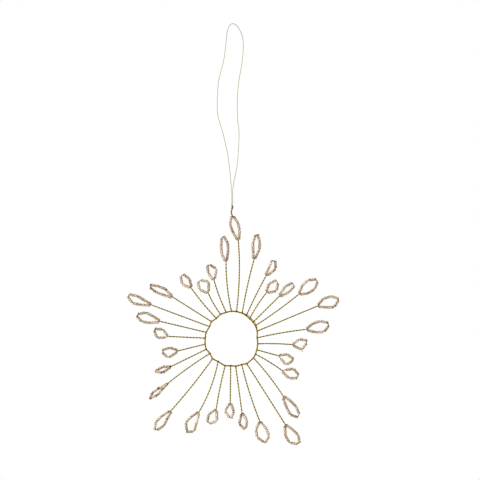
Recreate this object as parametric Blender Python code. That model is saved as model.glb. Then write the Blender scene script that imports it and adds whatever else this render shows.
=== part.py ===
"""Beaded star ornament: a brass wire ring with thirty rays that end in loops of glass tube beads, on a thread.

Metres, +Z up. The star hangs in the XZ plane and faces -Y. The origin is under the top of the thread's loop,
where a hook or a twig takes it. Bearings are in degrees, clockwise from straight up, as seen from the front.
"""

import math

import bpy
from mathutils import Vector

MM = 0.001

# Driving dimensions
BEAD_LENGTH = 5.8 * MM
BEAD_DIAMETER = 2.3 * MM
BEAD_GAP = 0.5 * MM
WIRE_DIAMETER = 0.52 * MM
STEM_DIAMETER = 1.04 * MM
RING_DIAMETER = 43.4 * MM
RING_THICKNESS = 1.2 * MM
LOOP_MOUTH = 1.4 * MM
TIP_REACH = 77 * MM
SHOULDER_REACH = 63 * MM
FLANK_REACH = 53 * MM
VALLEY_REACH = 45 * MM
RAY_DEPTH = 0.8 * MM
THREAD_DIAMETER = 0.5 * MM
KNOT_DIAMETER = 1.8 * MM
KNOT_LENGTH = 3.2 * MM
TAIL_DIAMETER = 1.1 * MM
TAIL_LENGTH = 5.0 * MM
TAIL_LEAN = -2.2
CLEARANCE = 0.3 * MM

FIRST_BEARING = 4.0
RAY_SPACING = 12.0
FIRST_LOOP_TURN = 8.0

REACHES = {"tip": TIP_REACH, "shoulder": SHOULDER_REACH, "flank": FLANK_REACH, "valley": VALLEY_REACH}

# The thread's way from its left strand at the knot, up over the hook and down to its right strand, in mm
THREAD_ROUTE = [
    (-0.9, -145.0),
    (-0.9, -139.0),
    (-1.0, -133.6),
    (-2.2, -120.2),
    (-3.9, -105.8),
    (-7.8, -87.8),
    (-12.0, -73.0),
    (-12.3, -58.6),
    (-11.2, -45.0),
    (-7.3, -29.4),
    (-5.7, -17.0),
    (-4.6, -7.5),
    (-2.9, -2.0),
    (0.0, 0.25),
    (3.9, -2.4),
    (7.4, -9.2),
    (8.4, -18.2),
    (7.3, -31.6),
    (5.0, -45.0),
    (3.7, -58.6),
    (3.8, -75.4),
    (5.0, -87.0),
    (4.5, -100.2),
    (3.4, -113.5),
    (0.9, -126.0),
    (-0.1, -133.6),
    (-0.1, -139.0),
    (-0.1, -145.0),
]
THREAD_STEP = 4 * MM


class Ray:
    """One ray of the star, by how it strays from a regular one. Lengths are in mm and angles in degrees."""

    def __init__(self, kind, longer, swing, foot, foot_out, lean, left, tip, bare, right=None, turn=None, bow=0.0):
        self.kind = kind
        self.longer = longer  # reach beyond its kind's own
        self.swing = swing  # bearing past its even place
        self.foot = foot  # bearing of its foot on the ring past the ray's own
        self.foot_out = foot_out  # how far the ring goes out at its foot
        self.lean = lean  # the loop's heading past the ray's bearing
        self.left = left  # how far each bead of the anticlockwise side points outwards
        self.tip = tip  # from that side's end to the other's, across the loop and along it
        self.bare = bare  # bare wire before the first bead of the anticlockwise and the clockwise side
        self.right = right  # how far the first bead of a long loop's clockwise side points outwards
        self.turn = turn  # the loop's turn about its own heading
        self.bow = bow  # how far the stem's middle bows clockwise


# Clockwise from the ray that hangs on the thread
RAYS = [
    Ray("tip", 2.4, 0, 6.6, 0.6, -22, (11, 1, -28), (1.8, -0.6), (1.6, 0.9), 22, bow=1.5),
    Ray("shoulder", 3.7, -0.1, 6.9, 0.7, -11, (6, 7, -13), (1.9, 0.9), (0.1, 1.7), 21, bow=-0.6),
    Ray("flank", 5.1, 0.8, 3.9, 0.5, -5, (-1, 2), (2.6, 0.6), (0.1, 2.5), bow=-0.4),
    Ray("valley", 2.2, -2.8, 4.9, 0.1, 7, (26, -20), (2.8, -0.7), (0.1, 0.9), bow=-0.7),
    Ray("flank", -1.4, -3.7, 4.1, 0.3, 1, (14, -12), (3.1, -0.4), (2.4, 1.9)),
    Ray("shoulder", 2.4, -7.6, 4.7, 0.3, -3, (30, 6, -32), (2.5, -0.2), (0.5, 0.1), 29, bow=0.6),
    Ray("tip", -2.6, -6.9, 4, 0, 5, (33, 1, -35), (1.2, -0.5), (0.5, 0.1), 21),
    Ray("shoulder", -2, -5.3, 4.8, -1, -6, (26, 4, -27), (2.4, -0.1), (0.1, 0.9), 27, bow=-0.6),
    Ray("flank", -3.5, -4.7, 5.1, -0.2, -16, (25, -20), (2.4, -0.9), (0.1, 1.5), bow=-0.4),
    Ray("valley", -4.4, -2.5, 3.7, 0.5, -5, (21, -23), (1.4, -0.3), (0.1, 2.4)),
    Ray("flank", -4.4, -2, 0.3, 1.1, -13, (28, -32), (2.7, -0.3), (2.2, 1.1), bow=-0.5),
    Ray("shoulder", -0.6, 1.9, -7.3, 1.7, 3, (15, 5, -17), (2.5, 1.2), (0.1, 2.4), 19, bow=-0.9),
    Ray("tip", 4.5, -0.2, 0.3, 1.6, -4, (16, 10, -27), (1.9, -0.3), (0.1, 2.1), 33),
    Ray("shoulder", 7.2, 0.9, -2.9, 0.4, 8, (28, 10, -43), (1.2, -0.7), (0.7, 0.1), 34, bow=0.9),
    Ray("flank", 7.3, -0.2, -0.9, 0.4, -3, (25, -21), (2, 1.1), (0.1, 2.3), turn=30),
    Ray("valley", 6.8, -3, 0.5, -0.3, -2, (20, -22), (1.3, -1.1), (0.1, 0.5)),
    Ray("flank", 5.2, -3.9, 1, 0.4, 19, (33, -40), (2.4, 0), (2, 0.1), bow=0.5),
    Ray("shoulder", 1.5, -4, 6.4, -0.7, 12, (20, 21, -50), (0.5, -1.2), (2.4, 0.1), 20, bow=-1.9),
    Ray("tip", -1.3, 0.1, 3.5, 0.2, -2, (9, 12, -21), (1.5, 1), (0.1, 1.8), 18, bow=-0.8),
    Ray("shoulder", -0.8, 3, 0.9, -1.1, -6, (3, 23, -34), (0.6, 1.2), (0.1, 2.4), 22, turn=62, bow=0.7),
    Ray("flank", 0.4, 1.4, 2.2, 0.1, 8, (26, -36), (1.8, -0.6), (2.2, 0.1), turn=52),
    Ray("valley", -0.9, 1.4, 1.3, -0.2, 12, (32, -42), (2.1, 0), (2.4, 0.1)),
    Ray("flank", -1.7, 4.3, -0.6, -0.7, 26, (34, -41), (1.5, 0.3), (1.5, 0.1)),
    Ray("shoulder", -3.7, 3.9, 0.8, -0.8, 2, (21, 8, -31), (1.8, -0.7), (1.1, 0.1), 17),
    Ray("tip", -6.8, 1, 6.4, -1.6, 0, (19, 10, -31), (2.2, -0.5), (1.8, 0.1), 6),
    Ray("shoulder", -4.7, 1.5, 5.5, -0.6, -10, (8, 6, -11), (2.1, 1.1), (0.1, 1.7), 19),
    Ray("flank", -0.4, 5.7, 2.2, -1.3, 3, (29, -26), (2.5, 0.1), (0.6, 0.1), bow=-0.6),
    Ray("valley", -3.2, 5.3, 2.9, -0.1, -10, (31, -27), (2.6, -0.3), (0.3, 2), bow=-0.6),
    Ray("flank", -3.4, 3.6, 5.5, 0, -4, (15, -12), (2.4, -0.3), (0.1, 1.9), bow=-0.7),
    Ray("shoulder", -0.5, 4.1, 4.1, 0.5, -4, (17, -3, -11), (2.1, 1.4), (0.1, 1.9), 15, bow=-1.2),
]

LINK = BEAD_LENGTH + BEAD_GAP
BEAD_RADIUS = BEAD_DIAMETER / 2
WIRE_RADIUS = WIRE_DIAMETER / 2
WIRE_GAP = WIRE_RADIUS + CLEARANCE


def clear_scene():
    """Removes what the file holds already."""
    for item in list(bpy.data.objects):
        bpy.data.objects.remove(item, do_unlink=True)


def material(name, colour, roughness, metallic, alpha=1.0):
    """A plain Principled material."""
    made = bpy.data.materials.new(name)
    made.use_nodes = True
    shader = made.node_tree.nodes["Principled BSDF"]
    shader.inputs["Base Color"].default_value = (*colour, 1.0)
    shader.inputs["Roughness"].default_value = roughness
    shader.inputs["Metallic"].default_value = metallic
    shader.inputs["Alpha"].default_value = alpha
    return made


def direction(bearing):
    """The unit vector of a bearing in the star's plane."""
    angle = math.radians(bearing)
    return Vector((math.sin(angle), 0.0, math.cos(angle)))


def tube(name, points, radii, sides, look, closed=False):
    """A curve object with a round bevel, which follows the points with a radius of its own at each."""
    curve = bpy.data.curves.new(name, "CURVE")
    curve.dimensions = "3D"
    curve.resolution_u = 1
    curve.render_resolution_u = 0
    curve.bevel_depth = max(radii)
    curve.bevel_resolution = (sides - 4) // 2
    curve.use_fill_caps = not closed
    curve.materials.append(look)
    spline = curve.splines.new("POLY")
    spline.points.add(len(points) - 1)
    spline.use_cyclic_u = closed
    for spot, place, radius in zip(spline.points, points, radii):
        spot.co = (*place, 1.0)
        spot.radius = radius / curve.bevel_depth
    made = bpy.data.objects.new(name, curve)
    bpy.context.collection.objects.link(made)
    return made


def as_mesh(item):
    """Replaces a curve object with the mesh that it makes."""
    name, look = item.name, item.data.materials[0]
    scene_graph = bpy.context.evaluated_depsgraph_get()
    mesh = bpy.data.meshes.new_from_object(item.evaluated_get(scene_graph))
    bpy.data.objects.remove(item, do_unlink=True)
    made = bpy.data.objects.new(name, mesh)
    mesh.name = name
    mesh.materials.clear()
    mesh.materials.append(look)
    bpy.context.collection.objects.link(made)
    return made


def unite(body, tools):
    """Joins the tools to the body by a Boolean union, one after the other, and leaves one object."""
    for tool in tools:
        modifier = body.modifiers.new(tool.name, "BOOLEAN")
        modifier.operation = "UNION"
        modifier.solver = "EXACT"
        modifier.object = tool
    scene_graph = bpy.context.evaluated_depsgraph_get()
    mesh = bpy.data.meshes.new_from_object(body.evaluated_get(scene_graph))
    body.modifiers.clear()
    body.data = mesh
    for tool in tools:
        bpy.data.objects.remove(tool, do_unlink=True)
    return body


def bearing_of(number):
    """The bearing at which a ray's stem ends. Numbers count from 0 at the top."""
    return FIRST_BEARING + RAY_SPACING * number + RAYS[number].swing


def foot_of(number, centre):
    """Where a ray's stem leaves the ring."""
    ray = RAYS[number]
    out = RING_DIAMETER / 2 + ray.foot_out * MM
    return centre + out * direction(bearing_of(number) + ray.foot)


def neck_of(number, centre):
    """Where a ray's stem parts into the two sides of its loop."""
    ray = RAYS[number]
    reach = REACHES[ray.kind] + ray.longer * MM
    depth = RAY_DEPTH * (-1) ** number
    return centre + reach * direction(bearing_of(number)) + Vector((0.0, depth, 0.0))


def heading_of(number):
    """The way that a ray's loop points."""
    return direction(bearing_of(number) + RAYS[number].lean)


def side_corners(start, angles, bare, outward):
    """A side of a loop as flat (across, along) points, one link for each angle from its heading."""
    corners, length = [start], bare + LINK
    for angle in angles:
        turned = math.radians(angle)
        corners.append(corners[-1] + length * Vector((outward * math.sin(turned), math.cos(turned))))
        length = LINK
    return corners


def elbow(start, end, length):
    """The corner between a link of that length and a plain one, clockwise of the line from start to end."""
    span = (end - start).length
    along = (end - start) / span
    reach = (span * span + length * length - LINK * LINK) / (2 * span)
    rise = math.sqrt(max(length * length - reach * reach, 0.0))
    return start + reach * along + rise * Vector((along.y, -along.x))


def loop_sides(number):
    """The two sides of a loop as flat points, from its mouth to its tip."""
    ray = RAYS[number]
    mouth = Vector((LOOP_MOUTH / 2, 0.0))
    first_bare, second_bare = (bare * MM for bare in ray.bare)
    first = side_corners(-mouth, ray.left, first_bare, -1)
    end = first[-1] + MM * Vector(ray.tip)
    second = side_corners(mouth, () if ray.right is None else (ray.right,), second_bare, 1)
    length = second_bare + LINK if ray.right is None else LINK
    second += [elbow(second[-1], end, length), end]
    return first, second


def place_loop(number, centre, flat):
    """Takes flat points of a loop to the star."""
    ray = RAYS[number]
    turn = FIRST_LOOP_TURN * (-1) ** (number // 2) if ray.turn is None else ray.turn
    turned = math.radians(turn)
    along = heading_of(number)
    sideways = direction(bearing_of(number) + ray.lean + 90)
    across = math.cos(turned) * sideways + math.sin(turned) * Vector((0.0, 1.0, 0.0))
    neck = neck_of(number, centre)
    return [neck + point.x * across + point.y * along for point in flat]


def setback(before, corner, after):
    """How far a bead stops short of a corner so that it clears its neighbour."""
    bend = (corner - before).angle(after - corner)
    return max(BEAD_GAP / 2, BEAD_RADIUS * math.tan(bend / 2) + 0.05 * MM)


def wire_setback(before, corner, after):
    """How far a bead stops short of a corner so that it clears the bent wire."""
    bend = (corner - before).angle(after - corner)
    return max(BEAD_GAP / 2, WIRE_RADIUS * math.tan(bend / 2) + 0.05 * MM)


def bead_stops(corners, bare, crown):
    """The ends of the beads on one side of a loop, as pairs of points. The wire goes on to the crown."""
    gaps = [bare + BEAD_GAP / 2]
    for before, corner, after in zip(corners, corners[1:], corners[2:]):
        gaps.append(setback(before, corner, after))
    gaps.append(wire_setback(corners[-2], corners[-1], crown))
    stops = []
    for start, end, near, far in zip(corners, corners[1:], gaps, gaps[1:]):
        along = (end - start).normalized()
        stops.append((start + near * along, end - far * along))
    return stops


def beaded_line(corners, bare, crown):
    """Points and radii along one side: the wire at each corner and a bead between."""
    points, radii = [corners[0]], [WIRE_RADIUS]
    if bare > BEAD_GAP / 2:
        points.append(corners[0] + bare * (corners[1] - corners[0]).normalized())
        radii.append(WIRE_RADIUS)
    for (start, end), corner in zip(bead_stops(corners, bare, crown), corners[1:]):
        points += [start, end, corner]
        radii += [BEAD_RADIUS, BEAD_RADIUS, WIRE_RADIUS]
    return points, radii


def bead_loop(number, centre, look):
    """The beads of one ray, fused on the wire that runs through them."""
    name = f"bead_loop_{number + 1:02d}_{RAYS[number].kind}"
    first, second = (place_loop(number, centre, side) for side in loop_sides(number))
    first_bare, second_bare = (bare * MM for bare in RAYS[number].bare)
    points, radii = beaded_line(first, first_bare, second[-1])
    back_points, back_radii = beaded_line(second, second_bare, first[-1])
    points += reversed(back_points)
    radii += reversed(back_radii)
    return tube(name, points, radii, 6, look, closed=True)


def stem(number, centre, look):
    """One twisted stem, from inside the ring to just short of its loop."""
    foot = foot_of(number, centre)
    end = neck_of(number, centre) - WIRE_GAP * heading_of(number)
    sideways = direction(bearing_of(number) + 90)
    bow = RAYS[number].bow * MM
    steps = 4 if bow else 1
    points = []
    for step in range(steps + 1):
        share = step / steps
        points.append(foot.lerp(end, share) + 4 * share * (1 - share) * bow * sideways)
    return tube(f"stem_{number + 1:02d}", points, [STEM_DIAMETER / 2] * len(points), 6, look)


def wire_frame(centre, look):
    """The ring with all its stems, as the one wire that they are."""
    numbers = range(len(RAYS))
    corners = [foot_of(number, centre) for number in numbers]
    ring = tube("wire_frame", corners, [RING_THICKNESS / 2] * len(corners), 6, look, closed=True)
    stems = [as_mesh(stem(number, centre, look)) for number in numbers]
    return unite(as_mesh(ring), stems)


def smooth_point(route, place):
    """A point of the smooth curve through the route, at a place counted in its points."""
    index = min(int(place), len(route) - 2)
    share = place - index
    before = route[max(index - 1, 0)]
    start, end = route[index], route[index + 1]
    after = route[min(index + 2, len(route) - 1)]
    leave = (end - before) / 2
    arrive = (after - start) / 2
    return (
        (2 * share**3 - 3 * share**2 + 1) * start
        + (share**3 - 2 * share**2 + share) * leave
        + (3 * share**2 - 2 * share**3) * end
        + (share**3 - share**2) * arrive
    )


def even_points(route, spacing):
    """Points at even distances, near the spacing, along the smooth curve through the route."""
    fine = 40 * (len(route) - 1)
    line = [smooth_point(route, (len(route) - 1) * step / fine) for step in range(fine + 1)]
    walked = [0.0]
    for start, end in zip(line, line[1:]):
        walked.append(walked[-1] + (end - start).length)
    count = round(walked[-1] / spacing) + 1
    points, index = [], 0
    for number in range(count):
        target = walked[-1] * number / (count - 1)
        while index < fine - 1 and walked[index + 1] < target:
            index += 1
        share = (target - walked[index]) / (walked[index + 1] - walked[index])
        points.append(line[index].lerp(line[index + 1], share))
    return points


def hanging_thread(look):
    """The thread's open loop, from the knot up over the hook and back."""
    route = [Vector((across * MM, 0.0, up * MM)) for across, up in THREAD_ROUTE]
    points = even_points(route, THREAD_STEP)
    return tube("hanging_thread", points, [THREAD_DIAMETER / 2] * len(points), 8, look)


def knot_top():
    """The middle of the knot's upper face, just under the thread's two ends."""
    (left, low), (right, _) = THREAD_ROUTE[0], THREAD_ROUTE[-1]
    return Vector(((left + right) / 2 * MM, 0.0, low * MM - CLEARANCE))


def tail_end():
    """Where the knot's tail ends, just above the wire of the top loop."""
    top = knot_top()
    return top - Vector((0.0, 0.0, KNOT_LENGTH)) - TAIL_LENGTH * direction(TAIL_LEAN)


def thread_knot(look):
    """The knot with the tail that is wound down to the top loop."""
    top, end = knot_top(), tail_end()
    low = top - Vector((0.0, 0.0, KNOT_LENGTH))
    full, slim = KNOT_DIAMETER / 2, TAIL_DIAMETER / 2
    shape = [(0.0, 0.75), (0.2, 0.97), (0.5, 1.0), (0.8, 0.9)]
    points = [top.lerp(low, share) for share, _ in shape]
    radii = [full * part for _, part in shape]
    bend = RAY_DEPTH * Vector((-1.0, 0.0, 0.0))
    for step in range(7):
        share = step / 6
        points.append(low.lerp(end, share) + 4 * share * (1 - share) * bend)
        radii.append(slim)
    return tube("thread_knot", points, radii, 8, look)


def star_centre():
    """The ring's centre, which hangs where the top loop's wire meets the knot's tail."""
    first, second = (place_loop(0, Vector(), side) for side in loop_sides(0))
    crown = (first[-1] + second[-1]) / 2
    return tail_end() - WIRE_GAP * heading_of(0) - crown


def build():
    """Makes every piece."""
    clear_scene()
    brass = material("brass_wire", (0.42, 0.34, 0.16), 0.35, 1.0)
    glass = material("rose_glass", (0.80, 0.66, 0.58), 0.12, 0.0, 0.6)
    thread = material("gold_thread", (0.62, 0.54, 0.38), 0.55, 0.2)
    centre = star_centre()
    wire_frame(centre, brass)
    for number in range(len(RAYS)):
        bead_loop(number, centre, glass)
    hanging_thread(thread)
    thread_knot(thread)


build()
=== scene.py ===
"""Beaded star ornament: a brass wire ring with thirty twisted rays that end in loops of glass tube beads.

Metres, +Z up. The star hangs in the XZ plane and faces -Y, and the origin is under the top of its thread's loop.
Bearings are in degrees, clockwise from straight up, as seen from the front.
"""

import math
import random

import bpy
from mathutils import Matrix, Vector


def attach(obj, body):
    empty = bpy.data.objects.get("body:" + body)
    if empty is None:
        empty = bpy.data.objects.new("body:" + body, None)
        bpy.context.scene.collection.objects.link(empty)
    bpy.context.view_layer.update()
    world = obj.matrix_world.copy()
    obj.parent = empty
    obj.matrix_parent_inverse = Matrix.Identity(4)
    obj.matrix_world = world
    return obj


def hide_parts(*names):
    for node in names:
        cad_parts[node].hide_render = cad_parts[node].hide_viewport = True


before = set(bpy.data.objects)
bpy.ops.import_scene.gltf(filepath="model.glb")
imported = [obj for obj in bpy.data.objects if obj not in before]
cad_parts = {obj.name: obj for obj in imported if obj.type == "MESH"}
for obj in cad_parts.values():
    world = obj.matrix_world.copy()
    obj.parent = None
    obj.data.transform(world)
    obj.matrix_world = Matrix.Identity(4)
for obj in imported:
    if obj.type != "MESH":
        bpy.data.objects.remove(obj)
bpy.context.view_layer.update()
bpy.ops.object.select_all(action="DESELECT")

MM = 0.001

# The star's sizes, as in its solids
BEAD_LENGTH = 5.8 * MM
BEAD_DIAMETER = 2.3 * MM
BEAD_GAP = 0.5 * MM
WIRE_DIAMETER = 0.52 * MM
RING_DIAMETER = 43.4 * MM
LOOP_MOUTH = 1.4 * MM
RAY_DEPTH = 0.8 * MM
THREAD_DIAMETER = 0.5 * MM
KNOT_LENGTH = 3.2 * MM
TAIL_LENGTH = 5.0 * MM
TAIL_LEAN = -2.2
CLEARANCE = 0.3 * MM
FIRST_BEARING = 4.0
RAY_SPACING = 12.0
FIRST_LOOP_TURN = 8.0
REACHES = {"tip": 77 * MM, "shoulder": 63 * MM, "flank": 53 * MM, "valley": 45 * MM}

# The beads
BEAD_SIDES = 12
BORE_DIAMETER = 1.1 * MM
RIM_BEVEL = 0.12 * MM
BEAD_PLAY = 0.1 * MM  # the gap between two beads that just clear each other
BEAD_TILT = 0.04 * MM  # how far a bead's ends may lie off the wire's line
BARE_SHARE = 0.25  # how much of the bare wire at a loop's mouth its first bead leaves in sight
PASS_DEPTH = 0.45 * MM  # how far a loop's sides lie before and behind its plane at the mouth and the tip
BEAD_SEED = 7

# How dark the beads' ends are painted, from and to: partly painted shade in the gaps between beads, partly the
# tarnished wire that shows there
DARK_END = (0.55, 0.85)
MOUTH_OR_TIP_END = (0.2, 0.5)
PLAIN_END = (0.0, 0.15)

# The wire
WIRE_SIDES = 6
TURN_STEPS = 12
COIL_STEPS = 14
TWIST_PITCH = 5.0 * MM
PITCH_RANGE = (0.88, 1.12)  # how a stem's own pitch differs from the usual one
RING_PITCH = 7.5 * MM
RING_STRAND_OFFSET = 0.33 * MM  # from the ring's own line to the middle of a strand
RING_SEAM = 0.08 * MM  # how far apart the ring's two ends may be where they are joined
FOOT_SHARE = 0.15  # how far the ring's bend at a foot reaches towards the next foot
FOOT_EASE = 0.05  # how far that bend is eased inwards, as a share of its depth
WRAP_TURNS = 1.3
WRAP_LENGTH = 0.7 * MM
WRAP_OFFSET = 0.62 * MM
FORK_LENGTH = 0.1 * MM  # how far before the loop's mouth the two strands of a stem part
LOOP_ROUNDING = 0.5 * MM
ROUNDING_SHARE = 0.45  # the most of a side that a rounded corner takes
STRAY_STEP = 1.5 * MM
STEM_SEED = 3

# The thread, its knot and the wire wound round its tail
THREAD_STEP = 2 * MM
PLY_DIAMETER = 0.3 * MM
PLY_PITCH = 1.5 * MM
PLY_STEPS = 10
KNOT_SIDES = 8
KNOT_TURNS = 3.6
KNOT_COIL_LENGTH = 1.9 * MM
KNOT_COIL_RISE = 0.7 * MM  # from the knot's lower end
KNOT_COIL_LEAN = 6
KNOT_SPREAD = 0.26 * MM  # how far each end of the thread lies beside the knot's middle
TAIL_TURNS = 3.0
TAIL_STEPS = 8
CROWN_SPREAD = 0.28 * MM  # how far each turn round the top loop's wire lies beside its middle
CROWN_STEPS = 16
BINDING_RADIUS = 0.13 * MM
BINDING_OFFSET = 0.44 * MM
BINDING_PITCH = 0.34 * MM
BINDING_SPAN = (0.08, 0.94)  # where it starts and ends, as shares of the tail

FINE_STEPS = 40  # between two points of a route, where its length is measured
SAME_PLACE = 0.001 * MM

# Points (across, up) in mm along the thread, from its left end at the knot over the hook to its right end
THREAD_ROUTE = [
    (-0.9, -145.0),
    (-0.9, -139.0),
    (-1.0, -133.6),
    (-2.2, -120.2),
    (-3.9, -105.8),
    (-7.8, -87.8),
    (-12.0, -73.0),
    (-12.3, -58.6),
    (-11.2, -45.0),
    (-7.3, -29.4),
    (-5.7, -17.0),
    (-4.6, -7.5),
    (-2.9, -2.0),
    (0.0, 0.25),
    (3.9, -2.4),
    (7.4, -9.2),
    (8.4, -18.2),
    (7.3, -31.6),
    (5.0, -45.0),
    (3.7, -58.6),
    (3.8, -75.4),
    (5.0, -87.0),
    (4.5, -100.2),
    (3.4, -113.5),
    (0.9, -126.0),
    (-0.1, -133.6),
    (-0.1, -139.0),
    (-0.1, -145.0),
]


class Ray:
    """One ray of the star, by how it strays from a regular one. Lengths are in mm and angles in degrees."""

    def __init__(
        self,
        kind,
        longer,
        swing,
        foot,
        foot_out,
        lean,
        left,
        tip,
        bare,
        right=None,
        turn=None,
        bow=0.0,
        dark=(),
        bared=(),
    ):
        self.kind = kind
        self.longer = longer  # reach beyond its kind's own
        self.swing = swing  # bearing past its even place
        self.foot = foot  # bearing of its foot on the ring past the ray's own
        self.foot_out = foot_out  # how far the ring goes out at its foot
        self.lean = lean  # the loop's heading past the ray's bearing
        self.left = left  # how far each bead of the anticlockwise side points outwards
        self.tip = tip  # from that side's end to the other's, across the loop and along it
        self.bare = bare  # bare wire before the first bead of the anticlockwise and the clockwise side
        self.right = right  # how far the first bead of a long loop's clockwise side points outwards
        self.turn = turn  # the loop's turn about its own heading, where it isn't the usual one
        self.bow = bow  # how far the stem's middle bows clockwise
        self.dark = dark  # where the beads' ends are painted darkest, as shade in the gaps between beads and as tarnished wire
        self.bared = bared  # sides whose first bead leaves all its bare wire in sight


# Every place of a loop
ALL_ROUND = ("mouth", "left 1", "left 2", "tip", "right 1", "right 2")

# Clockwise from the ray that hangs on the thread
RAYS = [
    Ray("tip", 2.4, 0, 6.6, 0.6, -22, (11, 1, -28), (1.8, -0.6), (1.6, 0.9), 22, bow=1.5, dark=("tip", "left 1")),
    Ray("shoulder", 3.7, -0.1, 6.9, 0.7, -11, (6, 7, -13), (1.9, 0.9), (0.1, 1.7), 21, bow=-0.6, dark=("tip",)),
    Ray("flank", 5.1, 0.8, 3.9, 0.5, -5, (-1, 2), (2.6, 0.6), (0.1, 2.5), bow=-0.4, dark=("right 1",)),
    Ray("valley", 2.2, -2.8, 4.9, 0.1, 7, (26, -20), (2.8, -0.7), (0.1, 0.9), bow=-0.7, dark=("right 1",)),
    Ray("flank", -1.4, -3.7, 4.1, 0.3, 1, (14, -12), (3.1, -0.4), (2.4, 1.9)),
    Ray("shoulder", 2.4, -7.6, 4.7, 0.3, -3, (30, 6, -32), (2.5, -0.2), (0.5, 0.1), 29, bow=0.6, dark=("right 1",)),
    Ray("tip", -2.6, -6.9, 4, 0, 5, (33, 1, -35), (1.2, -0.5), (0.5, 0.1), 21, dark=("right 2",)),
    Ray("shoulder", -2, -5.3, 4.8, -1, -6, (26, 4, -27), (2.4, -0.1), (0.1, 0.9), 27, bow=-0.6, dark=("tip",)),
    Ray("flank", -3.5, -4.7, 5.1, -0.2, -16, (25, -20), (2.4, -0.9), (0.1, 1.5), bow=-0.4, dark=("tip",)),
    Ray("valley", -4.4, -2.5, 3.7, 0.5, -5, (21, -23), (1.4, -0.3), (0.1, 2.4), bared=("right",)),
    Ray("flank", -4.4, -2, 0.3, 1.1, -13, (28, -32), (2.7, -0.3), (2.2, 1.1), bow=-0.5, bared=("left",)),
    Ray("shoulder", -0.6, 1.9, -7.3, 1.7, 3, (15, 5, -17), (2.5, 1.2), (0.1, 2.4), 19, bow=-0.9, dark=("right 2",)),
    Ray("tip", 4.5, -0.2, 0.3, 1.6, -4, (16, 10, -27), (1.9, -0.3), (0.1, 2.1), 33, dark=("mouth",)),
    Ray("shoulder", 7.2, 0.9, -2.9, 0.4, 8, (28, 10, -43), (1.2, -0.7), (0.7, 0.1), 34, bow=0.9, dark=("mouth",)),
    Ray("flank", 7.3, -0.2, -0.9, 0.4, -3, (25, -21), (2, 1.1), (0.1, 2.3), turn=30, dark=("mouth", "right 1")),
    Ray("valley", 6.8, -3, 0.5, -0.3, -2, (20, -22), (1.3, -1.1), (0.1, 0.5), dark=("left 1",)),
    Ray("flank", 5.2, -3.9, 1, 0.4, 19, (33, -40), (2.4, 0), (2, 0.1), bow=0.5),
    Ray("shoulder", 1.5, -4, 6.4, -0.7, 12, (20, 21, -50), (0.5, -1.2), (2.4, 0.1), 20, bow=-1.9, dark=("tip",)),
    Ray("tip", -1.3, 0.1, 3.5, 0.2, -2, (9, 12, -21), (1.5, 1), (0.1, 1.8), 18, bow=-0.8, dark=("mouth",)),
    Ray("shoulder", -0.8, 3, 0.9, -1.1, -6, (3, 23, -34), (0.6, 1.2), (0.1, 2.4), 22, turn=62, bow=0.7, dark=ALL_ROUND),
    Ray("flank", 0.4, 1.4, 2.2, 0.1, 8, (26, -36), (1.8, -0.6), (2.2, 0.1), turn=52, dark=("mouth", "left 1")),
    Ray("valley", -0.9, 1.4, 1.3, -0.2, 12, (32, -42), (2.1, 0), (2.4, 0.1)),
    Ray("flank", -1.7, 4.3, -0.6, -0.7, 26, (34, -41), (1.5, 0.3), (1.5, 0.1), dark=("tip",), bared=("left",)),
    Ray("shoulder", -3.7, 3.9, 0.8, -0.8, 2, (21, 8, -31), (1.8, -0.7), (1.1, 0.1), 17, dark=("tip",)),
    Ray("tip", -6.8, 1, 6.4, -1.6, 0, (19, 10, -31), (2.2, -0.5), (1.8, 0.1), 6),
    Ray("shoulder", -4.7, 1.5, 5.5, -0.6, -10, (8, 6, -11), (2.1, 1.1), (0.1, 1.7), 19, dark=("tip", "right 1")),
    Ray("flank", -0.4, 5.7, 2.2, -1.3, 3, (29, -26), (2.5, 0.1), (0.6, 0.1), bow=-0.6),
    Ray("valley", -3.2, 5.3, 2.9, -0.1, -10, (31, -27), (2.6, -0.3), (0.3, 2), bow=-0.6),
    Ray("flank", -3.4, 3.6, 5.5, 0, -4, (15, -12), (2.4, -0.3), (0.1, 1.9), bow=-0.7),
    Ray("shoulder", -0.5, 4.1, 4.1, 0.5, -4, (17, -3, -11), (2.1, 1.4), (0.1, 1.9), 15, bow=-1.2, dark=("right 2",)),
]

# Points (across, up) in mm along the two ends of wire that stick out, beside rays 9 and 29
LOOSE_ENDS = [
    [(54.6, -260.0), (55.4, -261.2), (55.9, -262.5)],
    [(-20.0, -193.5), (-18.8, -192.9), (-17.7, -192.8)],
]

# How far the stray strand lies outside the ring at the feet that it passes, in mm
STRAY_OFFSETS = {1: 0.0, 2: 0.9, 3: 1.0, 4: 1.0, 5: 0.9, 6: 0.0}

# Points (right, back, up) in mm from the knot's lower end, along the thread that crosses the knot's front
SLING = [(-0.75, -0.1, 0.35), (-0.7, -0.75, 0.9), (-0.1, -1.15, 1.5), (0.55, -0.95, 2.15), (0.65, -0.3, 2.7)]

LINK = BEAD_LENGTH + BEAD_GAP
BEAD_RADIUS = BEAD_DIAMETER / 2
WIRE_RADIUS = WIRE_DIAMETER / 2
WIRE_GAP = WIRE_RADIUS + CLEARANCE
THREAD_RADIUS = THREAD_DIAMETER / 2
PLY_RADIUS = PLY_DIAMETER / 2
PLY_OFFSET = THREAD_RADIUS - PLY_RADIUS
KNOT_COIL_OFFSET = 2.5 * THREAD_RADIUS
TAIL_OFFSET = 0.95 * THREAD_RADIUS
FRONT = Vector((0.0, -1.0, 0.0))
BACK = Vector((0.0, 1.0, 0.0))
UP = Vector((0.0, 0.0, 1.0))
RIGHT = Vector((1.0, 0.0, 0.0))


# Where things are


def flat_points(pairs):
    """Points in the star's plane, from pairs (across, up) in mm."""
    return [Vector((across * MM, 0.0, up * MM)) for across, up in pairs]


def direction(bearing):
    """The unit vector of a bearing in the star's plane."""
    angle = math.radians(bearing)
    return Vector((math.sin(angle), 0.0, math.cos(angle)))


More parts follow.
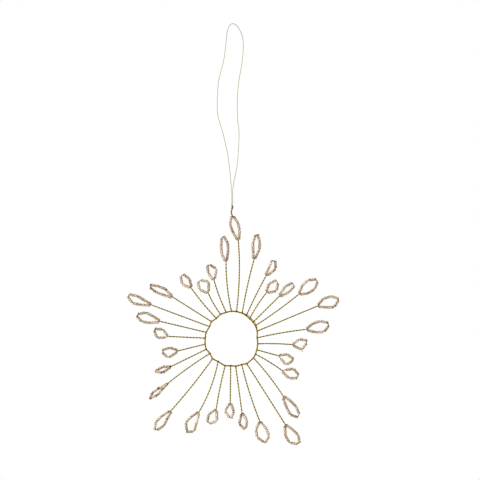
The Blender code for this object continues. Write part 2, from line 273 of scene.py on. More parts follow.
def bearing_of(number):
    """The bearing at which a ray's stem ends. Numbers count from 0 at the top."""
    return FIRST_BEARING + RAY_SPACING * number + RAYS[number].swing


def foot_of(number, centre):
    """Where a ray's stem leaves the ring."""
    ray = RAYS[number]
    out = RING_DIAMETER / 2 + ray.foot_out * MM
    return centre + out * direction(bearing_of(number) + ray.foot)


def neck_of(number, centre):
    """Where a ray's stem parts into the two sides of its loop."""
    ray = RAYS[number]
    reach = REACHES[ray.kind] + ray.longer * MM
    return centre + reach * direction(bearing_of(number)) + RAY_DEPTH * (-1) ** number * BACK


def heading_of(number):
    """The way that a ray's loop points."""
    return direction(bearing_of(number) + RAYS[number].lean)


def turn_of(number):
    """How far a ray's loop is turned about its own heading, in radians."""
    usual = FIRST_LOOP_TURN * (-1) ** (number // 2)
    own = RAYS[number].turn
    return math.radians(usual if own is None else own)


def across_of(number):
    """The way across a ray's loop, which is turned a little out of the star's plane."""
    turned = turn_of(number)
    sideways = direction(bearing_of(number) + RAYS[number].lean + 90)
    return math.cos(turned) * sideways + math.sin(turned) * BACK


def side_corners(start, angles, bare, outward):
    """A side of a loop as flat (across, along) points, one link for each angle from its heading."""
    corners, length = [start], bare + LINK
    for angle in angles:
        turned = math.radians(angle)
        corners.append(corners[-1] + length * Vector((outward * math.sin(turned), math.cos(turned))))
        length = LINK
    return corners


def elbow(start, end, length):
    """The corner between a link of that length and a plain one, clockwise of the line from start to end."""
    span = (end - start).length
    along = (end - start) / span
    reach = (span * span + length * length - LINK * LINK) / (2 * span)
    rise = math.sqrt(max(length * length - reach * reach, 0.0))
    return start + reach * along + rise * Vector((along.y, -along.x))


def loop_sides(number):
    """The two sides of a loop as flat points, from its mouth to its tip."""
    ray = RAYS[number]
    mouth = Vector((LOOP_MOUTH / 2, 0.0))
    first_bare, second_bare = (bare * MM for bare in ray.bare)
    first = side_corners(-mouth, ray.left, first_bare, -1)
    end = first[-1] + MM * Vector(ray.tip)
    second = side_corners(mouth, () if ray.right is None else (ray.right,), second_bare, 1)
    length = second_bare + LINK if ray.right is None else LINK
    second += [elbow(second[-1], end, length), end]
    return first, second


def place_loop(number, centre, flat):
    """Takes flat points of a loop to the star."""
    neck, across, along = neck_of(number, centre), across_of(number), heading_of(number)
    return [neck + point.x * across + point.y * along for point in flat]


def strung_sides(number, centre):
    """The lines of beads on a loop's two sides, which pass each other a little at its mouth and its tip."""
    first, second = (place_loop(number, centre, side) for side in loop_sides(number))
    facing = across_of(number).cross(heading_of(number))
    for side, depth in ((first, PASS_DEPTH), (second, -PASS_DEPTH)):
        side[0] += depth * facing
        side[-1] += depth * facing
    return first, second


def setback(before, corner, after):
    """How far a bead stops short of a corner so that it just clears its neighbour."""
    bend = (corner - before).angle(after - corner)
    return BEAD_RADIUS * math.tan(bend / 2) + BEAD_PLAY / 2


def bead_stops(corners, bare):
    """The ends of the beads on one side of a loop, as pairs of points, with that much bare wire before the first."""
    gaps = [bare]
    for before, corner, after in zip(corners, corners[1:], corners[2:]):
        gaps.append(setback(before, corner, after))
    gaps.append(BEAD_PLAY)
    stops = []
    for start, end, near, far in zip(corners, corners[1:], gaps, gaps[1:]):
        along = (end - start).normalized()
        stops.append((start + near * along, end - far * along))
    return stops


def smooth_point(route, place):
    """A point of the smooth curve through the route, at a place counted in its points."""
    index = min(int(place), len(route) - 2)
    share = place - index
    before = route[max(index - 1, 0)]
    start, end = route[index], route[index + 1]
    after = route[min(index + 2, len(route) - 1)]
    leave = (end - before) / 2
    arrive = (after - start) / 2
    return (
        (2 * share**3 - 3 * share**2 + 1) * start
        + (share**3 - 2 * share**2 + share) * leave
        + (3 * share**2 - 2 * share**3) * end
        + (share**3 - share**2) * arrive
    )


def even_points(route, spacing):
    """Points at even distances, near the spacing, along the smooth curve through the route."""
    fine = FINE_STEPS * (len(route) - 1)
    line = [smooth_point(route, (len(route) - 1) * step / fine) for step in range(fine + 1)]
    walked = [0.0]
    for start, end in zip(line, line[1:]):
        walked.append(walked[-1] + (end - start).length)
    count = round(walked[-1] / spacing) + 1
    points, index = [], 0
    for number in range(count):
        target = walked[-1] * number / (count - 1)
        while index < fine - 1 and walked[index + 1] < target:
            index += 1
        share = (target - walked[index]) / (walked[index + 1] - walked[index])
        points.append(line[index].lerp(line[index + 1], share))
    return points


def length_of(points):
    """The length of the line through the points."""
    return sum((end - start).length for start, end in zip(points, points[1:]))


def knot_top():
    """The middle of the knot's upper face, just under the thread's two ends."""
    (left, low), (right, _) = THREAD_ROUTE[0], THREAD_ROUTE[-1]
    return Vector(((left + right) / 2 * MM, 0.0, low * MM - CLEARANCE))


def tail_end():
    """Where the knot's tail ends, just above the wire of the top loop."""
    return knot_top() - KNOT_LENGTH * UP - TAIL_LENGTH * direction(TAIL_LEAN)


def bow_at(share):
    """How far out a bowed line is at a share of its way, where 1 is its middle."""
    return 4 * share * (1 - share)


def tail_line(start, stop):
    """Points down the knot's tail, between two shares of the way. The tail bows to the left."""
    top, end = knot_top() - KNOT_LENGTH * UP, tail_end()
    points = []
    for step in range(TAIL_STEPS + 1):
        share = start + (stop - start) * step / TAIL_STEPS
        points.append(top.lerp(end, share) - bow_at(share) * RAY_DEPTH * RIGHT)
    return points


def star_centre():
    """The ring's centre, which hangs where the top loop's wire meets the knot's tail."""
    first, second = (place_loop(0, Vector(), side) for side in loop_sides(0))
    return tail_end() - WIRE_GAP * heading_of(0) - (first[-1] + second[-1]) / 2


# Bench work


def pick(item):
    """Selects one object alone and makes it active."""
    bpy.ops.object.select_all(action="DESELECT")
    item.select_set(True)
    bpy.context.view_layer.objects.active = item


def copy_of(item):
    """A copy with its own mesh."""
    pick(item)
    bpy.ops.object.duplicate()
    return bpy.context.object


def drop(item):
    """Removes a pattern piece that has been copied as often as it is needed."""
    bpy.data.objects.remove(item, do_unlink=True)


def settle(item, matrix):
    """Takes an object to its place and puts the place into its mesh."""
    item.matrix_world = matrix
    pick(item)
    bpy.ops.object.transform_apply(location=True, rotation=True, scale=True)


def join(items, name):
    """Joins the objects into one with that name."""
    pick(items[0])
    for item in items[1:]:
        item.select_set(True)
    if len(items) > 1:
        bpy.ops.object.join()
    made = bpy.context.object
    made.name = name
    made.data.name = name
    return made


def select_faces(item, test):
    """Selects the faces that pass the test. The object is in edit mode before and after."""
    bpy.ops.mesh.select_mode(type="FACE")
    bpy.ops.mesh.select_all(action="DESELECT")
    bpy.ops.object.mode_set(mode="OBJECT")
    for face in item.data.polygons:
        face.select = test(face)
    bpy.ops.object.mode_set(mode="EDIT")


def select_edges(item, test):
    """Selects the edges whose two ends pass the test. The object is in edit mode before and after."""
    bpy.ops.mesh.select_mode(type="EDGE")
    bpy.ops.mesh.select_all(action="DESELECT")
    bpy.ops.object.mode_set(mode="OBJECT")
    corners = item.data.vertices
    for edge in item.data.edges:
        edge.select = test(*(corners[index].co for index in edge.vertices))
    bpy.ops.object.mode_set(mode="EDIT")


def close_ends(item):
    """Closes a tube's open ends and turns all faces outwards."""
    pick(item)
    bpy.ops.object.mode_set(mode="EDIT")
    bpy.ops.mesh.select_all(action="SELECT")
    bpy.ops.mesh.fill_holes(sides=0)
    bpy.ops.mesh.select_all(action="SELECT")
    bpy.ops.mesh.normals_make_consistent(inside=False)
    bpy.ops.object.mode_set(mode="OBJECT")


def round_off(item, degrees=50):
    """Shades an object smooth, apart from its sharp edges."""
    pick(item)
    bpy.ops.object.shade_smooth_by_angle(angle=math.radians(degrees))


def upright(start, along, across):
    """The place of something made along +Z from the origin, with its +X as near to across as can be."""
    along = along.normalized()
    across = (across - across.dot(along) * along).normalized()
    turned = Matrix((across, along.cross(across), along)).transposed().to_4x4()
    return Matrix.Translation(start) @ turned


def drawn_line(points):
    """A mesh line, drawn from point to point."""
    bpy.ops.mesh.primitive_plane_add(size=WIRE_DIAMETER, location=points[0])
    line = bpy.context.object
    bpy.ops.object.transform_apply(location=True)
    bpy.ops.object.mode_set(mode="EDIT")
    bpy.ops.mesh.merge(type="CENTER")
    for start, end in zip(points, points[1:]):
        bpy.ops.mesh.extrude_vertices_move(TRANSFORM_OT_translate={"value": end - start})
    bpy.ops.object.mode_set(mode="OBJECT")
    return line


def drawn_wire(points, radius, sides=WIRE_SIDES):
    """A round wire along the points, with closed ends."""
    wire = drawn_line(points)
    bpy.ops.object.convert(target="CURVE")
    wire = bpy.context.object
    wire.data.bevel_depth = radius
    wire.data.bevel_resolution = (sides - 4) // 2  # a curve is 4-sided at 0, and gains 2 sides a step
    wire.data.use_fill_caps = True
    bpy.ops.object.convert(target="MESH")
    wire = bpy.context.object
    bpy.ops.object.mode_set(mode="EDIT")
    bpy.ops.mesh.select_all(action="SELECT")
    bpy.ops.mesh.remove_doubles(threshold=SAME_PLACE)
    bpy.ops.mesh.normals_make_consistent(inside=False)
    bpy.ops.object.mode_set(mode="OBJECT")
    return wire


def coil_end(radius, offset):
    """The end of a strand that is ready to be wound closely round +Z."""
    bpy.ops.mesh.primitive_circle_add(
        vertices=WIRE_SIDES, radius=radius, location=(offset, 0.0, 0.0), rotation=(math.radians(90), 0.0, 0.0)
    )
    bpy.ops.object.transform_apply(location=True, rotation=True)
    return bpy.context.object


def strand_ends(count, radius, offset, sides=WIRE_SIDES):
    """The ends of strands that lie round an axis, as circles ready to be twisted along +Z."""
    circles = []
    for number in range(count):
        turned = 2 * math.pi * number / count
        place = (offset * math.cos(turned), offset * math.sin(turned), 0.0)
        bpy.ops.mesh.primitive_circle_add(vertices=sides, radius=radius, location=place)
        bpy.ops.object.transform_apply(location=True)
        circles.append(bpy.context.object)
    return join(circles, "strand_ends")


def twisted(ends, length, turns, steps=TURN_STEPS):
    """A copy of strand ends, twisted up to a length."""
    made = copy_of(ends)
    screw = made.modifiers.new("twist", "SCREW")
    screw.axis = "Z"
    screw.angle = 2 * math.pi * turns
    screw.screw_offset = length
    screw.steps = screw.render_steps = max(2, round(turns * steps))
    screw.use_smooth_shade = True
    bpy.ops.object.modifier_apply(modifier="twist")
    return made


def wound(ends, length, turns, steps=TURN_STEPS):
    """Strand ends twisted up to a length and closed. The ends themselves are used up."""
    made = twisted(ends, length, turns, steps)
    drop(ends)
    close_ends(made)
    return made


def along_line(item, line):
    """Bends what was made along +Z so that it follows a line, and removes the line."""
    pick(line)
    bpy.ops.object.convert(target="CURVE")
    line = bpy.context.object
    line.data.twist_mode = "MINIMUM"
    pick(item)
    bend = item.modifiers.new("bend", "CURVE")
    bend.object = line
    bend.deform_axis = "POS_Z"
    bpy.ops.object.modifier_apply(modifier="bend")
    drop(line)


# Materials

# The colour sockets of a Mix node, by number, because its sockets for other kinds of value have the same names
MIX_FIRST = 6
MIX_SECOND = 7
MIX_RESULT = 2


class Value:
    """A number that varies over a surface. Maths on it becomes Math nodes."""

    def __init__(self, nodes, socket):
        self.nodes = nodes
        self.socket = socket

    def maths(self, operation, first, second):
        """A Math node on two numbers."""
        return self.nodes.node("ShaderNodeMath", {"operation": operation}, {0: first, 1: second})

    def __add__(self, other):
        return self.maths("ADD", self, other)

    __radd__ = __add__

    def __sub__(self, other):
        return self.maths("SUBTRACT", self, other)

    def __rsub__(self, other):
        return self.maths("SUBTRACT", other, self)

    def __mul__(self, other):
        return self.maths("MULTIPLY", self, other)

    __rmul__ = __mul__


class Nodes:
    """A tree of nodes, to which all of them are added in one way."""

    def __init__(self, tree):
        self.tree = tree

    def fill(self, socket, value):
        """Links or sets one socket."""
        if isinstance(value, Value):
            self.tree.links.new(value.socket, socket)
        else:
            socket.default_value = value

    def node(self, kind, settings=None, inputs=None, output=0):
        """Adds a node with its settings, a ramp's stops among them, and then its sockets' values or links."""
        made = self.tree.nodes.new(kind)
        for name, value in (settings or {}).items():
            if name == "stops":
                for stop, (position, colour) in zip(made.color_ramp.elements, value):
                    stop.position, stop.color = position, (*colour, 1.0)
            else:
                setattr(made, name, value)
        for name, value in (inputs or {}).items():
            self.fill(made.inputs[name], value)
        return None if output is None else Value(self, made.outputs[output])

    def spread(self, value, low, high):
        """The value's range from low to high, drawn out to run from 0 to 1."""
        inputs = {"Value": value, "From Min": low, "From Max": high}
        return self.node("ShaderNodeMapRange", {"clamp": True}, inputs)


class Finish(Nodes):
    """One material. Plain values are given by the shader's own socket names."""

    def __init__(self, name, **plain):
        self.material = bpy.data.materials.new(name)
        self.material.use_nodes = True
        super().__init__(self.material.node_tree)
        self.shader = self.tree.nodes["Principled BSDF"]
        for socket, value in plain.items():
            self.shader.inputs[socket.replace("_", " ")].default_value = value

    def place(self):
        """Object coordinates, in metres."""
        return self.node("ShaderNodeTexCoord", output="Object")

    def distance(self, point):
        """The distance from a point."""
        return self.node("ShaderNodeVectorMath", {"operation": "DISTANCE"}, {0: self.place(), 1: point}, "Value")

    def attribute(self, name, output="Fac"):
        """What is noted on the mesh under a name."""
        return self.node("ShaderNodeAttribute", {"attribute_name": name}, output=output)

    def noise(self, scale, detail=2.0):
        """Noise from 0 to 1. The scale is in cells a metre."""
        inputs = {"Vector": self.place(), "Scale": scale, "Detail": detail}
        return self.node("ShaderNodeTexNoise", {}, inputs, "Fac")

    def mix(self, share, first, second):
        """A colour between two, by a share from 0 to 1."""
        first, second = (colour if isinstance(colour, Value) else (*colour, 1.0) for colour in (first, second))
        inputs = {"Factor": share, MIX_FIRST: first, MIX_SECOND: second}
        return self.node("ShaderNodeMix", {"data_type": "RGBA"}, inputs, MIX_RESULT)

    def bump(self, height, strength, distance):
        """A surface that is raised by the height."""
        inputs = {"Height": height, "Strength": strength, "Distance": distance}
        return self.node("ShaderNodeBump", {}, inputs, "Normal")

    def absorb(self, colour, density):
        """Lets thick places of a clear material look darker."""
        inputs = {"Color": (*colour, 1.0), "Density": density}
        depth = self.node("ShaderNodeVolumeAbsorption", {}, inputs)
        self.fill(self.tree.nodes["Material Output"].inputs["Volume"], depth)

    def shade(self, **links):
        """Links values to the shader's own sockets."""
        for socket, value in links.items():
            self.fill(self.shader.inputs[socket.replace("_", " ")], value)


def brass_finish(centre):
    """Brass wire: olive gold with browner tarnish in patches, most of it on the ring, and painted shade in the grooves
    between twisted strands.
    """
    finish = Finish("brass_wire", Metallic=1.0, Specular_Tint=(0.9, 0.75, 0.15, 1.0))
    patches = finish.spread(finish.noise(140.0, 3.0), 0.35, 0.7)
    specks = finish.spread(finish.noise(1500.0), 0.45, 0.75)
    ring = RING_DIAMETER / 2
    near_ring = 1 - finish.spread(finish.distance(centre), ring + 1.5 * MM, ring + 4 * MM)
    clean = finish.mix(patches, (0.39, 0.315, 0.012), (0.31, 0.24, 0.008))
    worn = finish.mix(near_ring * 0.7, clean, (0.29, 0.20, 0.008))
    specked = finish.mix(specks * 0.5, worn, (0.15, 0.10, 0.008))
    finish.shade(
        # Painted shade: the grooves between a stem's twisted strands are darkened towards its axis
        Base_Color=finish.mix(finish.attribute("groove_shade") * 0.8, specked, (0.05, 0.035, 0.01)),
        Roughness=0.28 + patches * 0.14 + specks * 0.1,
        Normal=finish.bump(finish.noise(4000.0), 0.25, 0.02 * MM),
    )
    return finish.material


def tarnished_finish():
    """The wire inside the loops, which is browner and duller than the rays."""
    finish = Finish("tarnished_wire", Metallic=1.0, Specular_Tint=(0.75, 0.5, 0.2, 1.0))
    patches = finish.spread(finish.noise(260.0, 3.0), 0.35, 0.7)
    finish.shade(
        Base_Color=finish.mix(patches, (0.27, 0.17, 0.04), (0.15, 0.085, 0.025)),
        Roughness=0.34 + patches * 0.2,
        Normal=finish.bump(finish.noise(4000.0), 0.25, 0.02 * MM),
    )
    return finish.material


def bead_marks(finish):
    """A bead's own tint, and how dark a place on it is painted for being near a dark end, as shade in the gaps between
    beads and as tarnished wire.
    """
    marks = finish.attribute("marks", "Vector")
    tint, near, far = (finish.node("ShaderNodeSeparateXYZ", {}, {0: marks}, axis) for axis in "XYZ")
    along = finish.attribute("along")
    dark = near * finish.spread(along, 0.2, 0.03) + far * finish.spread(along, 0.8, 0.97)
    return tint, dark


def glass_finish():
    """Pale rose glass, a little cloudy, with beads that differ slightly in tint and are painted brown at their ends,
    partly as shade in the gaps between beads and partly as tarnished wire.
    """
    finish = Finish("rose_glass", Transmission_Weight=1.0, IOR=1.5)
    tint, dark = bead_marks(finish)
    rose = finish.mix(tint, (0.92, 0.84, 0.77), (0.98, 0.93, 0.89))
    finish.shade(
        # Painted shade and tarnish: darker brown towards the beads' dark ends
        Base_Color=finish.mix(dark * 0.7, rose, (0.50, 0.28, 0.15)),
        Roughness=0.2 + finish.noise(900.0) * 0.04,
        Normal=finish.bump(finish.noise(700.0, 1.0), 0.05, 0.05 * MM),
    )
    finish.absorb((0.82, 0.73, 0.60), 200.0)
    return finish.material


def lining_finish():
    """The rose colour that lines the beads' bores and shows on their ground ends."""
    finish = Finish("bead_lining")
    tint, dark = bead_marks(finish)
    worn = finish.spread(finish.noise(1100.0), 0.4, 0.7)
    lined = finish.mix(tint, (0.65, 0.60, 0.495), (0.85, 0.81, 0.725))
    stained = finish.mix(worn * 0.04, lined, (0.36, 0.25, 0.18))
    finish.shade(
        # Painted shade and tarnish: the lining darkens towards the beads' dark ends
        Base_Color=finish.mix(dark, stained, (0.20, 0.09, 0.035)),
        Roughness=0.35 + worn * 0.2,
    )
    return finish.material


def thread_finish(name, pale, deep):
    """Pale gold thread with a dull metallic sheen, greyer where it goes over its hook."""
    finish = Finish(name, Metallic=0.35)
    patches = finish.spread(finish.noise(500.0), 0.35, 0.65)
    spun = finish.mix(patches, pale, deep)
    over_hook = 1 - finish.spread(finish.distance((0.0, 0.0, 0.0)), 10 * MM, 24 * MM)
    finish.shade(
        Base_Color=finish.mix(over_hook, spun, (0.26, 0.23, 0.225)),
        Roughness=0.45 + patches * 0.15,
        Normal=finish.bump(finish.noise(5000.0), 0.3, 0.03 * MM),
    )
    return finish.material


def paint(item, look):
    """Gives an object one material."""
    item.data.materials.clear()
    item.data.materials.append(look)


# Camera, light and floor

VIEW_WIDTH = 384 * MM
VIEW_CENTRE = Vector((5.76 * MM, 0.0, -172.96 * MM))
VIEW_GAMMA = 0.75
CAMERA_DISTANCE = 2.4
CLIP_END = 100.0
SENSOR_WIDTH = 36.0
FLOOR_RADIUS = 9.0
FLOOR_SIDES = 96
FLOOR_LEVEL = -1.2
WHITE = (1.0, 1.0, 1.0)
LIGHT_SIDE = Vector((-0.95, -0.25, 0.1)).normalized()

# The colours of the room that the star mirrors, from right behind the light side, at 0, to straight at it, at 1
ROOM_STOPS = [(0.5, (0.42, 0.34, 0.25)), (0.8, WHITE)]

# The place of each softbox, the length of its sides in metres and its power in watts
SOFTBOXES = [((-1.8, -0.9, 0.3), 2.6, 56.0), ((1.5, -1.0, 0.2), 1.0, 5.0)]


def camera():
    """A long lens, square on to the star's front."""
    place = VIEW_CENTRE + CAMERA_DISTANCE * FRONT
    bpy.ops.object.camera_add(location=place, rotation=(math.radians(90), 0.0, 0.0))
    made = bpy.context.object
    made.data.sensor_width = SENSOR_WIDTH
    made.data.lens = SENSOR_WIDTH * CAMERA_DISTANCE / VIEW_WIDTH
    made.data.clip_end = CLIP_END
    bpy.context.scene.camera = made


def softbox(place, size, power):
    """An area light that faces the star's middle."""
    place = Vector(place)
    aim = (VIEW_CENTRE - place).to_track_quat("-Z", "Y").to_euler()
    bpy.ops.object.light_add(type="AREA", location=place, rotation=aim)
    lamp = bpy.context.object.data
    lamp.size = size
    lamp.energy = power


def studio():
    """A white backdrop, a room that is dimmer on the right, and soft light, mostly from the front left."""
    world = bpy.data.worlds.new("studio")
    bpy.context.scene.world = world
    world.use_nodes = True
    world.node_tree.nodes.clear()
    sky = Nodes(world.node_tree)
    way = sky.node("ShaderNodeTexCoord", output="Generated")
    towards = sky.node("ShaderNodeVectorMath", {"operation": "DOT_PRODUCT"}, {0: way, 1: LIGHT_SIDE}, "Value")
    shade = sky.node("ShaderNodeValToRGB", {"stops": ROOM_STOPS}, {"Fac": sky.spread(towards, -1.0, 1.0)}, "Color")
    room = sky.node("ShaderNodeBackground", {}, {"Color": shade})
    backdrop = sky.node("ShaderNodeBackground", {}, {"Color": (*WHITE, 1.0)})
    seen = sky.node("ShaderNodeLightPath", output="Is Camera Ray")
    blend = sky.node("ShaderNodeMixShader", {}, {0: seen, 1: room, 2: backdrop})
    sky.node("ShaderNodeOutputWorld", {}, {"Surface": blend}, None)
    for place, size, power in SOFTBOXES:
        softbox(place, size, power)
    bpy.context.scene.view_settings.view_transform = "Standard"
    bpy.context.scene.view_settings.gamma = VIEW_GAMMA


def floor():
    """A wide sheet of white paper, well under the hanging star."""
    place = (0.0, 0.0, FLOOR_LEVEL)
    bpy.ops.mesh.primitive_circle_add(vertices=FLOOR_SIDES, radius=FLOOR_RADIUS, fill_type="NGON", location=place)
    sheet = bpy.context.object
    sheet.name = "floor"
    paper = Finish("floor_paper", Roughness=0.8, Emission_Color=(*WHITE, 1.0), Emission_Strength=0.6)
    paper.shade(Base_Color=paper.mix(paper.noise(3.0, 3.0), (0.80, 0.80, 0.79), (0.84, 0.84, 0.83)))
    paint(sheet, paper.material)


# The thread and its knot


def hanging_thread(look, knot):
    """The two-ply thread, from its left end at the knot up over the hook and down to its right end."""
    points = even_points(flat_points(THREAD_ROUTE), THREAD_STEP)
    length = length_of(points)
    thread = wound(strand_ends(2, PLY_RADIUS, PLY_OFFSET), length, length / PLY_PITCH, PLY_STEPS)
    along_line(thread, drawn_line(points))
    thread.name = thread.data.name = "thread_loop"
    round_off(thread)
    paint(thread, look)
    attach(thread, "root")
    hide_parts("hanging_thread")


def knot_body(low):
    """The knot itself, above its lower end: a close coil, the thread's two ends in it and a turn across its front."""
    coil = wound(coil_end(THREAD_RADIUS, KNOT_COIL_OFFSET), KNOT_COIL_LENGTH, KNOT_TURNS, COIL_STEPS)
    settle(coil, upright(low + KNOT_COIL_RISE * UP, direction(KNOT_COIL_LEAN), FRONT))
    parts = [coil]
    top = low + KNOT_LENGTH * UP
    for side in (-KNOT_SPREAD, KNOT_SPREAD):
        beside = side * RIGHT
        line = [top + beside + CLEARANCE * UP, top + beside - MM * UP, low + beside]
        parts.append(drawn_wire(line, THREAD_RADIUS, KNOT_SIDES))
    sling = even_points([low + MM * Vector(point) for point in SLING], THREAD_RADIUS)
    parts.append(drawn_wire(sling, THREAD_RADIUS, KNOT_SIDES))
    return parts


def knot_tail():
    """The thread's two ends twisted together below the knot, and the two turns they take round the top loop's wire."""
    line = tail_line(0.0, 1.0)
    ends = strand_ends(2, THREAD_RADIUS, TAIL_OFFSET, KNOT_SIDES)
    tail = wound(ends, length_of(line), TAIL_TURNS)
    along_line(tail, drawn_line(line))
    parts = [tail]
    crown = tail_end() - WIRE_GAP * heading_of(0)
    for side in (-CROWN_SPREAD, CROWN_SPREAD):
        bpy.ops.mesh.primitive_torus_add(
            major_segments=CROWN_STEPS,
            minor_segments=KNOT_SIDES,
            major_radius=WIRE_RADIUS + THREAD_RADIUS,
            minor_radius=THREAD_RADIUS,
        )
        ring = bpy.context.object
        settle(ring, upright(crown + side * across_of(0), across_of(0), FRONT))
        parts.append(ring)
    return parts


def thread_knot(look):
    """The wound knot, with its doubled tail that goes round the wire of the top loop."""
    knot = join([*knot_body(knot_top() - KNOT_LENGTH * UP), *knot_tail()], "tied_knot")
    round_off(knot, 60)
    paint(knot, look)
    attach(knot, "root")
    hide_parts("thread_knot")
    return knot


def tail_binding(look):
    """The fine brass wire that is wound round the thread's tail, down to the top loop."""
    line = tail_line(*BINDING_SPAN)
    length = length_of(line)
    coil = wound(coil_end(BINDING_RADIUS, BINDING_OFFSET), length, length / BINDING_PITCH)
    along_line(coil, drawn_line(line))
    coil.name = coil.data.name = "tail_binding"
    round_off(coil, 60)
    paint(coil, look)
    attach(coil, "root")


# The star


def stem_stop(number, centre):
    """Where a ray's two strands part."""
    foot, neck = foot_of(number, centre), neck_of(number, centre)
    return neck - FORK_LENGTH * (neck - foot).normalized()


def twisted_stem(number, centre, ends, chance):
    """A ray's pair of strands, twisted from the ring to where they part, and side by side there."""
    foot, stop = foot_of(number, centre), stem_stop(number, centre)
    length = (stop - foot).length
    turns = length / (TWIST_PITCH * chance.uniform(*PITCH_RANGE))
    stem = twisted(ends, length, turns)
    close_ends(stem)
    # Painted shade: how near a point lies to the stem's axis, in the grooves between its two strands
    groove_shade = stem.data.attributes.new("groove_shade", "FLOAT", "POINT")
    for corner, spot in zip(stem.data.vertices, groove_shade.data):
        spot.value = 1 - corner.co.xy.length / WIRE_DIAMETER
    settle(stem, Matrix.Rotation(turn_of(number) - 2 * math.pi * turns, 4, "Z"))
    bow = RAYS[number].bow * MM
    for corner in stem.data.vertices:
        corner.co.x += bow_at(corner.co.z / length) * bow
    settle(stem, upright(foot, stop - foot, direction(bearing_of(number) + 90)))
    return stem


def wire_ring(centre, ends):
    """The ring's strands, twisted and closed on themselves through the feet of the rays."""
    feet = [foot_of(number, centre) for number in range(len(RAYS))]
    line = []
    for before, foot, after in zip(feet[-1:] + feet, feet, feet[1:] + feet[:1]):
        line.append(foot.lerp(before, FOOT_SHARE))
        line.append(foot + FOOT_EASE * (before + after - 2 * foot))
        line.append(foot.lerp(after, FOOT_SHARE))
    line.append(line[0])
    length = length_of(line)
    ring = twisted(ends, length, round(length / RING_PITCH))
    along_line(ring, drawn_line(line))
    pick(ring)
    bpy.ops.object.mode_set(mode="EDIT")
    bpy.ops.mesh.select_all(action="SELECT")
    bpy.ops.mesh.remove_doubles(threshold=RING_SEAM)
    bpy.ops.object.mode_set(mode="OBJECT")
    close_ends(ring)
    return ring


def foot_wraps(centre):
    """The turns of wire that hold each ray's foot on the ring."""
    wrap = wound(coil_end(WIRE_RADIUS, WRAP_OFFSET), WRAP_LENGTH, WRAP_TURNS, COIL_STEPS)
    feet = [foot_of(number, centre) for number in range(len(RAYS))]
    wraps = []
    for before, foot, after in zip(feet[-1:] + feet, feet, feet[1:] + feet[:1]):
        along = (after - before).normalized()
        made = copy_of(wrap)
        settle(made, upright(foot - WRAP_LENGTH / 2 * along, along, BACK))
        wraps.append(made)
    drop(wrap)
    return wraps


def stray_strand(centre):
    """The strand that runs beside the ring at its upper right."""
    route = []
    for number, out in STRAY_OFFSETS.items():
        foot = foot_of(number, centre)
        route.append(foot + out * MM * (foot - centre).normalized())
    return drawn_wire(even_points(route, STRAY_STEP), WIRE_RADIUS)


def star_wire(look, centre):
    """The ring, its wraps, its stray strand and all the twisted stems, as the one length of wire that they are."""
    pair = strand_ends(2, WIRE_RADIUS, WIRE_RADIUS)
    triple = strand_ends(3, WIRE_RADIUS, RING_STRAND_OFFSET)
    parts = [wire_ring(centre, triple), stray_strand(centre), *foot_wraps(centre)]
    chance = random.Random(STEM_SEED)
    parts += [twisted_stem(number, centre, pair, chance) for number in range(len(RAYS))]
    drop(pair)
    drop(triple)
    made = join(parts, "ring_and_stems")
    round_off(made)
    paint(made, look)
    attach(made, "root")
    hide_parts("wire_frame")


def rounded(corners, reach):
    """A line whose inner corners are rounded off over a reach on each side."""
    line = [corners[0]]
    for before, corner, after in zip(corners, corners[1:], corners[2:]):
        come, go = corner - before, after - corner
        start = corner - min(reach, come.length * ROUNDING_SHARE) * come.normalized()
        end = corner + min(reach, go.length * ROUNDING_SHARE) * go.normalized()
        line += [start, 0.25 * start + 0.5 * corner + 0.25 * end, end]
    return [*line, corners[-1]]


def loop_wire(number, centre):
    """The bare wire that runs from a stem through a loop's beads and back."""
    stop = stem_stop(number, centre)
    first, second = strung_sides(number, centre)
    apart = WIRE_RADIUS * across_of(number)
    line = [stop - apart, *first, *reversed(second), stop + apart]
    return drawn_wire(rounded(line, LOOP_ROUNDING), WIRE_RADIUS)


def loop_wires(look, centre):
    """The wires inside all the beads, and two loose ends."""
    wires = [loop_wire(number, centre) for number in range(len(RAYS))]
    wires += [drawn_wire(flat_points(pairs), WIRE_RADIUS) for pairs in LOOSE_ENDS]
    made = join(wires, "loop_wires")
    round_off(made)
    paint(made, look)
    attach(made, "root")


def is_end(face):
    """Whether a bead's face is one of its flat ends."""
    return abs(face.normal.z) > 0.9


def is_outer_rim(start, end):
    """Whether a bead's edge runs round the outside of one of its ends."""
    return abs(start.z - end.z) < RIM_BEVEL / 2 and end.xy.length > 0.9 * BEAD_RADIUS


def is_in_bore(face):
    """Whether a bead's face lines its bore."""
    return face.center.xy.length < 0.7 * BEAD_RADIUS


def tube_bead(glass, lining):
    """One tube bead along +Z from the origin, with its bore and its ground rims."""
    bpy.ops.mesh.primitive_cylinder_add(
        vertices=BEAD_SIDES, radius=BEAD_RADIUS, depth=BEAD_LENGTH, location=(0.0, 0.0, BEAD_LENGTH / 2)
    )
    bead = bpy.context.object
    bpy.ops.object.transform_apply(location=True)
    bpy.ops.object.mode_set(mode="EDIT")
    select_faces(bead, is_end)
    bpy.ops.mesh.inset(thickness=BEAD_RADIUS - BORE_DIAMETER / 2)
    bpy.ops.mesh.bridge_edge_loops()
    select_edges(bead, is_outer_rim)
    bpy.ops.mesh.bevel(offset=RIM_BEVEL, segments=1, affect="EDGES")
    bpy.ops.mesh.select_all(action="SELECT")
    bpy.ops.mesh.normals_make_consistent(inside=False)
    bpy.ops.object.mode_set(mode="OBJECT")
    round_off(bead, 40)
    paint(bead, glass)
    bead.data.materials.append(lining)
    for face in bead.data.polygons:
        face.material_index = 1 if is_end(face) or is_in_bore(face) else 0
    along = bead.data.attributes.new("along", "FLOAT", "POINT")
    for corner, spot in zip(bead.data.vertices, along.data):
        spot.value = corner.co.z / BEAD_LENGTH
    return bead


def mark(bead, tint, near, far):
    """Notes a bead's own tint, and how dark its two ends look, for its finishes."""
    marks = bead.data.attributes.new("marks", "FLOAT_VECTOR", "POINT")
    for spot in marks.data:
        spot.vector = (tint, near, far)


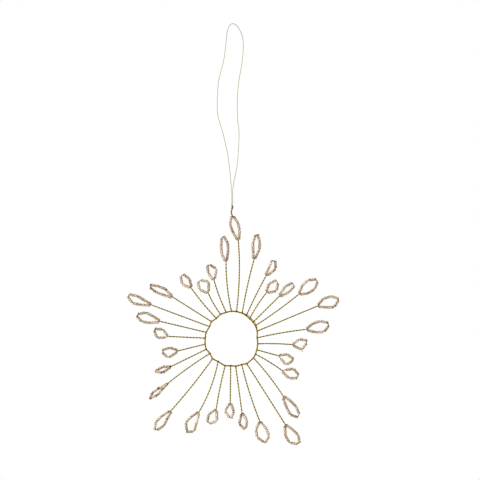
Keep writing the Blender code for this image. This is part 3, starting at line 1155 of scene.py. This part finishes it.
def darkness_at(place, ray, chance):
    # Painted shade and tarnish at the joints between beads
    """How dark the beads' ends look at one place of a loop."""
    if place in ray.dark:
        return chance.uniform(*DARK_END)
    return chance.uniform(*(MOUTH_OR_TIP_END if place in ("mouth", "tip") else PLAIN_END))


def any_way(chance):
    """A vector that points any way."""
    return Vector([chance.uniform(-1, 1) for _ in range(3)])


def strung_beads(number, centre, bead, chance):
    """The beads of one loop, each a little loose on the wire."""
    ray = RAYS[number]
    beads = []
    for name, side, bare in zip(("left", "right"), strung_sides(number, centre), ray.bare):
        places = ["mouth", *(f"{name} {bend}" for bend in range(1, len(side) - 1)), "tip"]
        darkness = [darkness_at(place, ray, chance) for place in places]
        share = 1.0 if name in ray.bared else BARE_SHARE
        stops = bead_stops(side, share * bare * MM)
        for (start, end), near, far in zip(stops, darkness, darkness[1:]):
            made = copy_of(bead)
            mark(made, chance.random(), near, far)
            along = end - start
            tilt = any_way(chance)
            tilt = BEAD_TILT * (tilt - tilt.project(along))
            place = upright(start + tilt, along - 2 * tilt, any_way(chance))
            settle(made, place @ Matrix.Diagonal((1.0, 1.0, along.length / BEAD_LENGTH, 1.0)))
            beads.append(made)
    return beads


def bead_loops(glass, lining, centre):
    """The glass beads, one piece for each ray."""
    chance = random.Random(BEAD_SEED)
    bead = tube_bead(glass, lining)
    for number, ray in enumerate(RAYS):
        node = f"bead_loop_{number + 1:02d}_{ray.kind}"
        made = join(strung_beads(number, centre, bead, chance), node.replace("bead_loop", "tube_beads"))
        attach(made, "root")
        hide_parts(node)
    drop(bead)


def build():
    """Makes the scene."""
    camera()
    thread = thread_finish("gold_thread", (0.42, 0.405, 0.17), (0.30, 0.285, 0.11))
    # Painted shade: the knot's thread is a darker copy of the gold thread, for the shade within the knot
    knot_shaded_thread = thread_finish("knot_shaded_thread", (0.37, 0.32, 0.13), (0.25, 0.20, 0.075))
    hanging_thread(thread, thread_knot(knot_shaded_thread))
    centre = star_centre()
    brass = brass_finish(centre)
    tail_binding(brass)
    star_wire(brass, centre)
    loop_wires(tarnished_finish(), centre)
    bead_loops(glass_finish(), lining_finish(), centre)
    studio()
    floor()


build()
